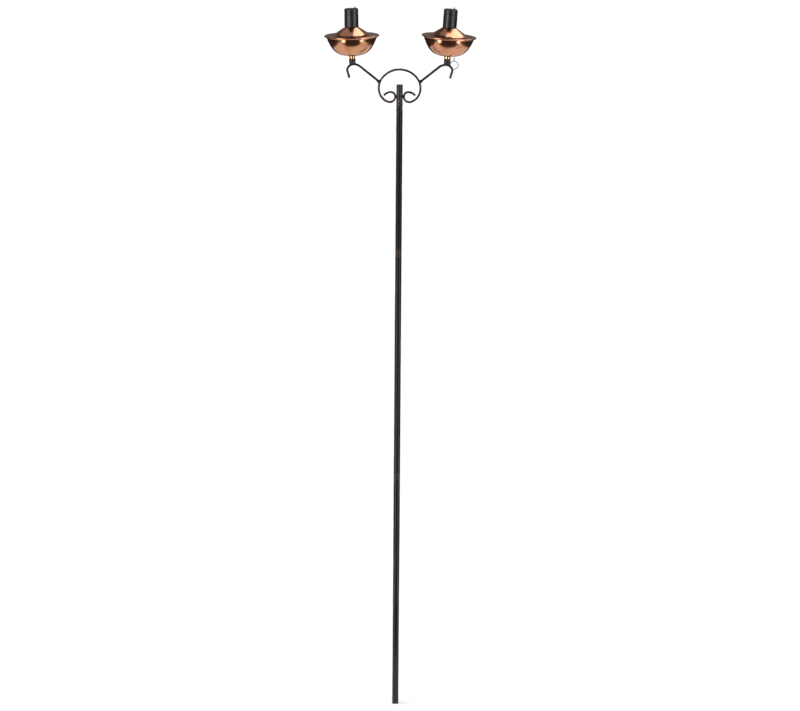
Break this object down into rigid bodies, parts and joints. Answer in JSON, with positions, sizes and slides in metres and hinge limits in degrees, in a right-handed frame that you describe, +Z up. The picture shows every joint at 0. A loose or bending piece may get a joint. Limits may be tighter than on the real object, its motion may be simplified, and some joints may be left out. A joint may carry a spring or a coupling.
{
  "type": "garden torch",
  "caption": "Tall sectional garden torch with a scroll bracket carrying a pair of flared copper oil lamps with wicks and chained snuffer caps",
  "frame": {"origin": "pole axis at the ground end", "axes": "+Z up along the pole, lamps spread along X, chains hang on the +Y side"},
  "size_m": [0.456, 0.1725, 2.1086],
  "materials": {
    "black_tube": "gloss black enamel on steel tube",
    "black_plastic": "matt",
    "rubbed_bronze": "hammered black with bronze rubbed through",
    "satin_black": "satin black",
    "weld_metal": "painted over weld bead",
    "copper": "polished copper, a little lacquered",
    "copper_brass": "copper neck over a brass spigot",
    "brass": "turned brass",
    "wick_fibre": "braided glass fibre",
    "steel_wire": "bright zinc wire"
  },
  "bodies": {
    "pole_base": {"pole_lower": "black_tube", "ground_plug": "black_plastic"},
    "pole_mid": {"pole_middle": "black_tube"},
    "pole_top": {"pole_upper": "black_tube"},
    "bracket": {"bracket_post": "rubbed_bronze", "post_cap": "rubbed_bronze", "scroll_ring": "rubbed_bronze", "arm_left": "rubbed_bronze", "arm_right": "rubbed_bronze", "socket_left": "satin_black", "socket_right": "satin_black", "bracket_welds": "weld_metal"},
    "lamp_left": {"bowl_left": "copper", "lid_left": "copper", "neck_left": "copper_brass"},
    "burner_left": {"burner_plate_left": "brass", "wick_tube_left": "brass"},
    "wick_body_left": {"wick_left": "wick_fibre"},
    "snuffer_left": {"snuffer_cap_left": "satin_black", "snuffer_eyelet_left": "steel_wire", "snuffer_chain_left": "steel_wire"},
    "ring_body_left": {"snuffer_ring_left": "steel_wire"},
    "lamp_right": {"bowl_right": "copper", "lid_right": "copper", "neck_right": "copper_brass"},
    "burner_right": {"burner_plate_right": "brass", "wick_tube_right": "brass"},
    "wick_body_right": {"wick_right": "wick_fibre"},
    "snuffer_right": {"snuffer_cap_right": "satin_black", "snuffer_eyelet_right": "steel_wire", "snuffer_chain_right": "steel_wire"},
    "ring_body_right": {"snuffer_ring_right": "steel_wire"}
  },
  "joints": [
    {"name": "middle_section_pull", "type": "slide", "parent": "pole_base", "child": "pole_mid", "axis": [0, 0, 1], "range_m": [0, 0.055]},
    {"name": "upper_section_pull", "type": "slide", "parent": "pole_mid", "child": "pole_top", "axis": [0, 0, 1], "range_m": [0, 0.055]},
    {"name": "bracket_swivel", "type": "hinge", "parent": "pole_top", "child": "bracket", "pos_m": [0, 0, 1.775], "axis": [0, 0, 1], "continuous": true},
    {"name": "lamp_lift_left", "type": "slide", "parent": "bracket", "child": "lamp_left", "axis": [-0.0279, 0, 0.9996], "range_m": [0, 0.03]},
    {"name": "burner_lift_left", "type": "slide", "parent": "lamp_left", "child": "burner_left", "axis": [-0.0279, 0, 0.9996], "range_m": [0, 0.115]},
    {"name": "wick_height_left", "type": "slide", "parent": "burner_left", "child": "wick_body_left", "axis": [-0.0279, 0, 0.9996], "range_m": [0, 0.008]},
    {"name": "snuffer_lift_left", "type": "slide", "parent": "burner_left", "child": "snuffer_left", "axis": [-0.0279, 0, 0.9996], "range_m": [0, 0.065]},
    {"name": "ring_swing_left", "type": "hinge", "parent": "snuffer_left", "child": "ring_body_left", "pos_m": [-0.17921, 0.0836, 1.98158], "axis": [0.175, -0.9846, -0.0002], "range_deg": [-30, 30]},
    {"name": "lamp_lift_right", "type": "slide", "parent": "bracket", "child": "lamp_right", "axis": [0.0628, 0, 0.998], "range_m": [0, 0.03]},
    {"name": "burner_lift_right", "type": "slide", "parent": "lamp_right", "child": "burner_right", "axis": [0.0628, 0, 0.998], "range_m": [0, 0.115]},
    {"name": "wick_height_right", "type": "slide", "parent": "burner_right", "child": "wick_body_right", "axis": [0.0628, 0, 0.998], "range_m": [0, 0.008]},
    {"name": "snuffer_lift_right", "type": "slide", "parent": "burner_right", "child": "snuffer_right", "axis": [0.0628, 0, 0.998], "range_m": [0, 0.065]},
    {"name": "ring_swing_right", "type": "hinge", "parent": "snuffer_right", "child": "ring_body_right", "pos_m": [0.16284, 0.08718, 1.9335], "axis": [-0.0023, -1, 0.0008], "range_deg": [-30, 30]}
  ]
}
